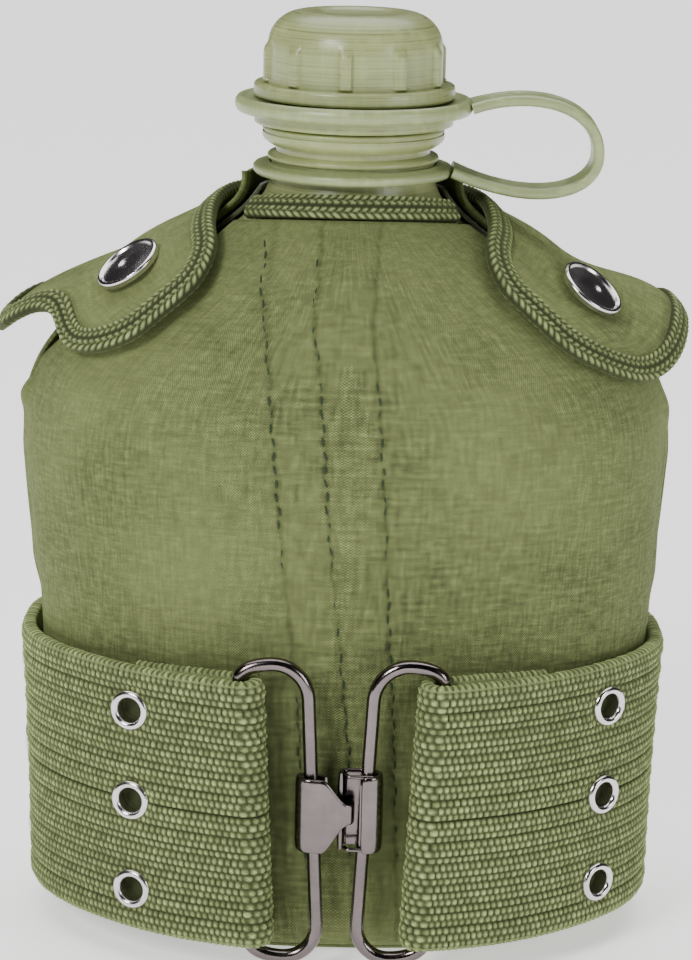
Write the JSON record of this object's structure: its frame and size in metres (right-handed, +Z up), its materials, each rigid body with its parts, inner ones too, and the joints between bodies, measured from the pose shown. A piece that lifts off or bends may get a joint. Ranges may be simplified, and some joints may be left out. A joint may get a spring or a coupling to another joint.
{
  "type": "canteen",
  "caption": "Flask-shaped drinking canteen with tethered screw cap, in a canvas cover with snap flaps, held by a ribbed web belt with a wire buckle.",
  "frame": {"origin": "centre of the flat base of the cover, under the neck's axis", "axes": "+Z up along the neck, +X to the tether's side, the front with the buckle faces -Y"},
  "size_m": [0.145, 0.0974, 0.2004],
  "materials": {
    "flask_plastic": "satin olive moulded plastic",
    "tether_plastic": "satin olive flexible plastic",
    "canvas": "plain weave cotton canvas",
    "felt": "wool blanket lining",
    "webbing": "heavy ribbed cotton webbing",
    "binding_tape": "herringbone cotton tape",
    "seal_rubber": "matte",
    "nickel": "bright nickel plate",
    "black_nickel": "black nickel plated wire",
    "brass": "dull painted brass"
  },
  "bodies": {
    "canteen": {"bottle": "flask_plastic", "tether_band": "tether_plastic", "tether_neck_ring": "tether_plastic", "cover_front": "canvas", "cover_back": "canvas", "cover_bottom": "canvas", "lining_front": "felt", "lining_back": "felt", "front_top_tape": "binding_tape", "drain_grommet": "brass", "hanger_web": "webbing", "hanger_hook": "black_nickel", "snap_stud_left": "nickel", "snap_stud_right": "nickel", "belt_web": "webbing", "eyelet_1_1": "nickel", "eyelet_1_2": "nickel", "eyelet_1_3": "nickel", "eyelet_2_1": "nickel", "eyelet_2_2": "nickel", "eyelet_2_3": "nickel", "eyelet_3_1": "nickel", "eyelet_3_2": "nickel", "eyelet_3_3": "nickel", "eyelet_4_1": "nickel", "eyelet_4_2": "nickel", "eyelet_4_3": "nickel", "eyelet_5_1": "nickel", "eyelet_5_2": "nickel", "eyelet_5_3": "nickel", "eyelet_6_1": "nickel", "eyelet_6_2": "nickel", "eyelet_6_3": "nickel"},
    "tether_ring": {"tether_cap_ring": "tether_plastic"},
    "screw_cap": {"cap": "flask_plastic", "cap_seal": "seal_rubber"},
    "left_flap": {"flap_left": "canvas", "flap_tape_left": "binding_tape", "snap_cap_left": "nickel", "snap_socket_left": "nickel"},
    "right_flap": {"flap_right": "canvas", "flap_tape_right": "binding_tape", "snap_cap_right": "nickel", "snap_socket_right": "nickel"},
    "left_buckle": {"buckle_wire_left": "black_nickel"},
    "claw": {"clasp_claw": "black_nickel"},
    "right_buckle": {"buckle_wire_right": "black_nickel", "clasp_catch": "black_nickel"}
  },
  "joints": [
    {"name": "cap_lift", "type": "slide", "parent": "canteen", "child": "tether_ring", "axis": [0, 0, 1], "range_m": [0, 0.04], "deforming": ["tether_band"]},
    {"name": "cap_turn", "type": "hinge", "parent": "tether_ring", "child": "screw_cap", "pos_m": [0, 0, 0.1765], "axis": [0, 0, 1], "range_deg": [0, 1800]},
    {"name": "left_flap_open", "type": "hinge", "parent": "canteen", "child": "left_flap", "pos_m": [-0.03754, 0.02014, 0.14464], "axis": [-0.7081, 0.2119, -0.6736], "range_deg": [0, 110]},
    {"name": "right_flap_open", "type": "hinge", "parent": "canteen", "child": "right_flap", "pos_m": [0.03754, 0.02014, 0.14464], "axis": [-0.7081, -0.2119, 0.6736], "range_deg": [0, 110]},
    {"name": "left_buckle_swing", "type": "hinge", "parent": "canteen", "child": "left_buckle", "pos_m": [-0.02, -0.0452, 0.036], "axis": [0.0499, 0, -0.9988], "range_deg": [0, 70]},
    {"name": "claw_open", "type": "hinge", "parent": "left_buckle", "child": "claw", "pos_m": [-0.00562, -0.0452, 0.0365], "axis": [0.0499, 0, -0.9988], "range_deg": [0, 100]},
    {"name": "right_buckle_play", "type": "hinge", "parent": "canteen", "child": "right_buckle", "pos_m": [0.02, -0.0452, 0.036], "axis": [0.0499, 0, 0.9988], "range_deg": [0, 2]}
  ],
  "couplings": [
    {"joint": "cap_turn", "follows": "cap_lift", "rad_per_m": 785.4}
  ]
}
